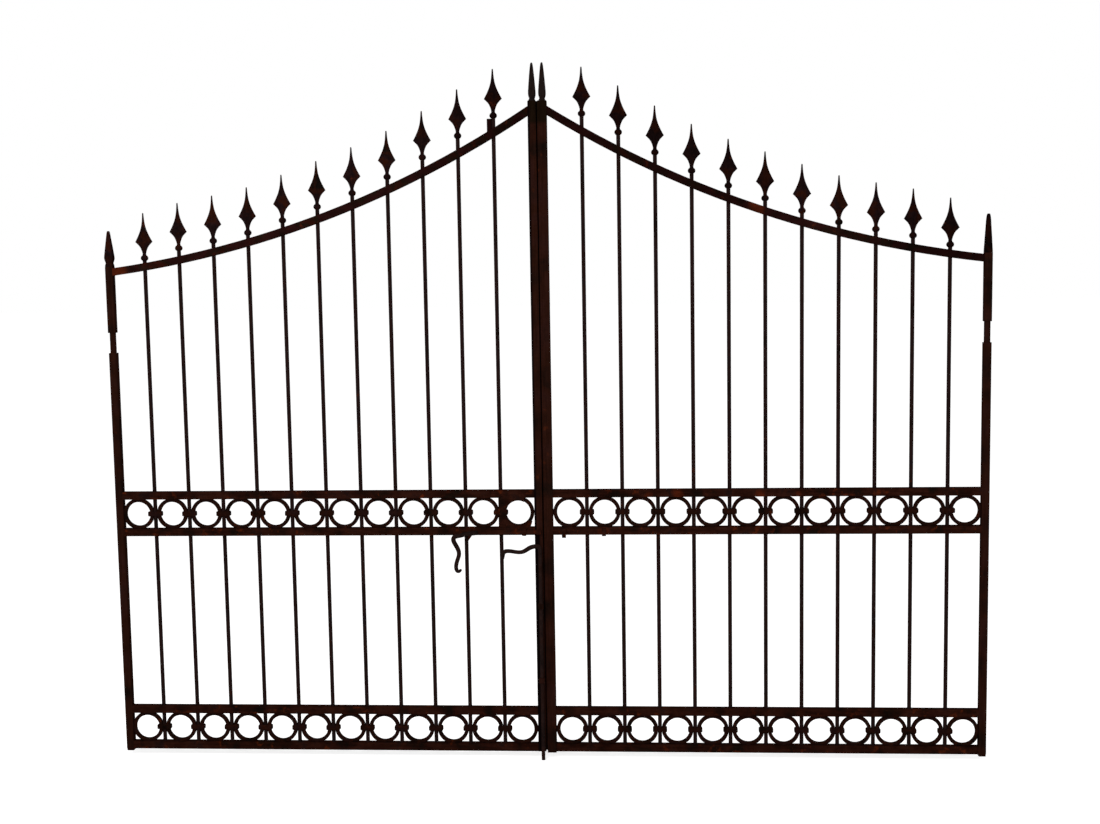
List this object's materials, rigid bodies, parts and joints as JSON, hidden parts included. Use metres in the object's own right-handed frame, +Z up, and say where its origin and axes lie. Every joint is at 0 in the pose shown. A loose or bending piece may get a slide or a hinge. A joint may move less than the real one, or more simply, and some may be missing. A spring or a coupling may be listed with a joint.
{
  "type": "driveway gate pair",
  "caption": "Pair of wrought iron driveway gate leaves with rising top rails, spearheaded bars, ring friezes, a slide bolt and a drop bolt.",
  "frame": {"origin": "centre of the underside of the left heel pivot, at ground level", "axes": "+X along the closed gate from the left heel to the right heel, -Y towards the inner face that carries the bolts, +Z up"},
  "size_m": [3.0874, 0.0639, 2.452],
  "materials": {
    "wrought_iron": "dark paint worn to brown rust",
    "cast_ornament": "rough cast iron, rusted",
    "bolt_iron": "rubbed dark iron, rusted"
  },
  "bodies": {
    "heel_pivots": {"left_heel_pivot": "wrought_iron", "right_heel_pivot": "wrought_iron"},
    "left_leaf": {"left_bars": "wrought_iron", "left_bottom_collars": "cast_ornament", "left_bottom_frieze_rail": "wrought_iron", "left_bottom_rail": "wrought_iron", "left_bottom_rings": "wrought_iron", "left_drop_bolt_guides": "bolt_iron", "left_heel_finial": "cast_ornament", "left_heel_stile": "wrought_iron", "left_lock_collars": "cast_ornament", "left_lock_plate": "bolt_iron", "left_lock_rings": "wrought_iron", "left_lower_lock_rail": "wrought_iron", "left_meeting_finial": "cast_ornament", "left_meeting_stile": "wrought_iron", "left_ring_spacer": "cast_ornament", "left_slide_bolt_guides": "bolt_iron", "left_spearheads": "cast_ornament", "left_top_rail": "wrought_iron", "left_top_rail_stub": "wrought_iron", "left_upper_lock_rail": "wrought_iron"},
    "right_leaf": {"right_bars": "wrought_iron", "right_bottom_collars": "cast_ornament", "right_bottom_frieze_rail": "wrought_iron", "right_bottom_rail": "wrought_iron", "right_bottom_rings": "wrought_iron", "right_heel_finial": "cast_ornament", "right_heel_stile": "wrought_iron", "right_lock_collars": "cast_ornament", "right_lock_rings": "wrought_iron", "right_lower_lock_rail": "wrought_iron", "right_meeting_finial": "cast_ornament", "right_meeting_stile": "wrought_iron", "right_ring_spacers": "cast_ornament", "right_slide_bolt_keepers": "bolt_iron", "right_spearheads": "cast_ornament", "right_top_rail": "wrought_iron", "right_upper_lock_rail": "wrought_iron"},
    "slide_bolt": {"slide_bolt_bar": "bolt_iron", "slide_bolt_handle": "bolt_iron"},
    "drop_bolt": {"drop_bolt_handle": "bolt_iron", "drop_bolt_rod": "bolt_iron"}
  },
  "joints": [
    {"name": "left_leaf_swing", "type": "hinge", "parent": "heel_pivots", "child": "left_leaf", "pos_m": [0, 0, 0], "axis": [0, 0, -1], "range_deg": [0, 95]},
    {"name": "right_leaf_swing", "type": "hinge", "parent": "heel_pivots", "child": "right_leaf", "pos_m": [3.06, 0, 0], "axis": [0, 0, 1], "range_deg": [0, 95]},
    {"name": "slide_bolt_throw", "type": "slide", "parent": "left_leaf", "child": "slide_bolt", "axis": [1, 0, 0], "range_m": [0, 0.12]},
    {"name": "drop_bolt_lift", "type": "slide", "parent": "left_leaf", "child": "drop_bolt", "axis": [0, 0, 1], "range_m": [0, 0.022]}
  ]
}
